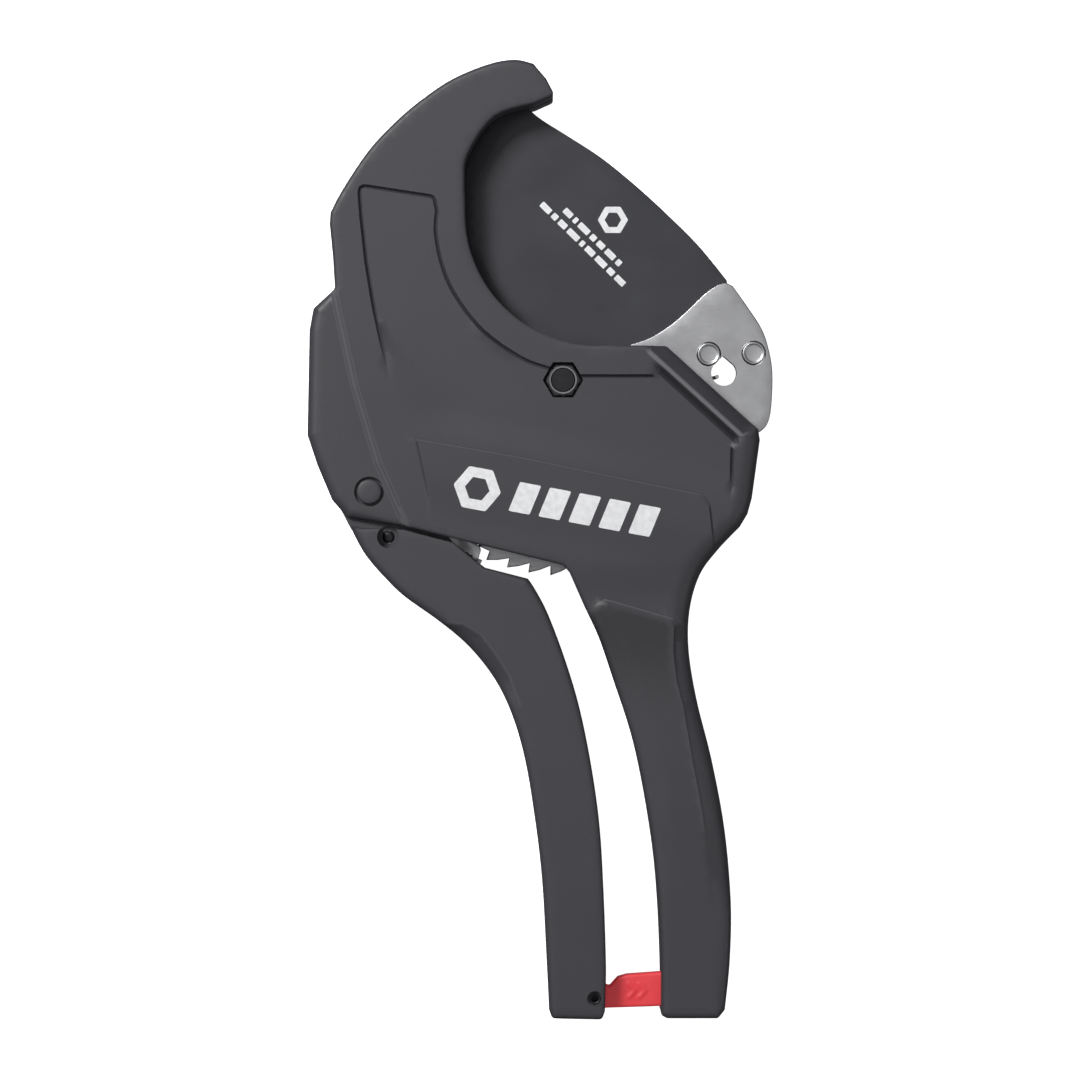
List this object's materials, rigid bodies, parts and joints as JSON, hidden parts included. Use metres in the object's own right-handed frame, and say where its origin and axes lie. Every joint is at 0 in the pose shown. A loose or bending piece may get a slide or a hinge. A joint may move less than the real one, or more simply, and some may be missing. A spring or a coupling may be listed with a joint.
{
  "type": "ratcheting pipe cutter",
  "caption": "Ratcheting plastic-pipe cutter: hook-jawed body with fixed handle, curved swinging blade, toothed ratchet plates, squeeze lever with drive pawl, and handle latch.",
  "frame": {"origin": "middle of the tool's footprint, on the floor it lies on (rear face down)", "axes": "+X from the lever towards the fixed handle, +Y towards the jaw, +Z out of the front face (thickness)"},
  "size_m": [0.1168, 0.24, 0.024],
  "materials": {
    "cast_paint": "die-cast, dark grey matte powder coat",
    "blade_coating": "low-friction dark coating on a ground blade",
    "bright_steel": "bright, fine brushed",
    "dark_steel": "blackened steel",
    "red_plastic": "satin red nylon"
  },
  "bodies": {
    "frame": {"front_frame": "cast_paint", "rear_frame": "cast_paint", "pivot_bolt": "dark_steel", "pivot_nut": "dark_steel", "pivot_spring_washer": "bright_steel", "pivot_bush": "bright_steel", "lever_pin": "dark_steel", "lever_pin_washer": "bright_steel", "blade_stop_pin": "dark_steel", "latch_catch_pin": "dark_steel", "case_screw_1": "bright_steel", "case_screw_2": "bright_steel", "case_screw_3": "bright_steel", "case_screw_4": "bright_steel", "case_screw_5": "bright_steel", "case_screw_6": "bright_steel"},
    "cutting_blade": {"blade": "blade_coating", "ratchet_plate_front": "bright_steel", "ratchet_plate_rear": "bright_steel", "ratchet_rivet_1": "bright_steel", "ratchet_rivet_2": "bright_steel", "blade_spring": "bright_steel"},
    "squeeze_lever": {"lever": "cast_paint", "lever_bush": "bright_steel", "lever_spring": "dark_steel", "pawl_spring": "bright_steel", "pawl_pin": "dark_steel", "latch_pin": "dark_steel"},
    "pawl": {"drive_pawl": "bright_steel"},
    "handle_latch": {"latch": "red_plastic"}
  },
  "joints": [
    {"name": "blade_swing", "type": "hinge", "parent": "frame", "child": "cutting_blade", "pos_m": [0.00565, 0.04, 0.012], "axis": [0, 0, -1], "range_deg": [0, 97.5], "deforming": ["blade_spring"]},
    {"name": "lever_squeeze", "type": "hinge", "parent": "frame", "child": "squeeze_lever", "pos_m": [-0.04285, 0.0121, 0.012], "axis": [0, 0, -1], "range_deg": [0, 26], "deforming": ["lever_spring"]},
    {"name": "pawl_rock", "type": "hinge", "parent": "squeeze_lever", "child": "pawl", "pos_m": [-0.0381, 0.00075, 0.012], "axis": [0, 0, -1], "range_deg": [-34, 0.1]},
    {"name": "latch_swing", "type": "hinge", "parent": "squeeze_lever", "child": "handle_latch", "pos_m": [0.01365, -0.11475, 0.012], "axis": [0, 0, -1], "range_deg": [-4, 70]}
  ],
  "couplings": [
    {"joint": "pawl_rock", "follows": "lever_squeeze", "ratio": -1.3}
  ]
}
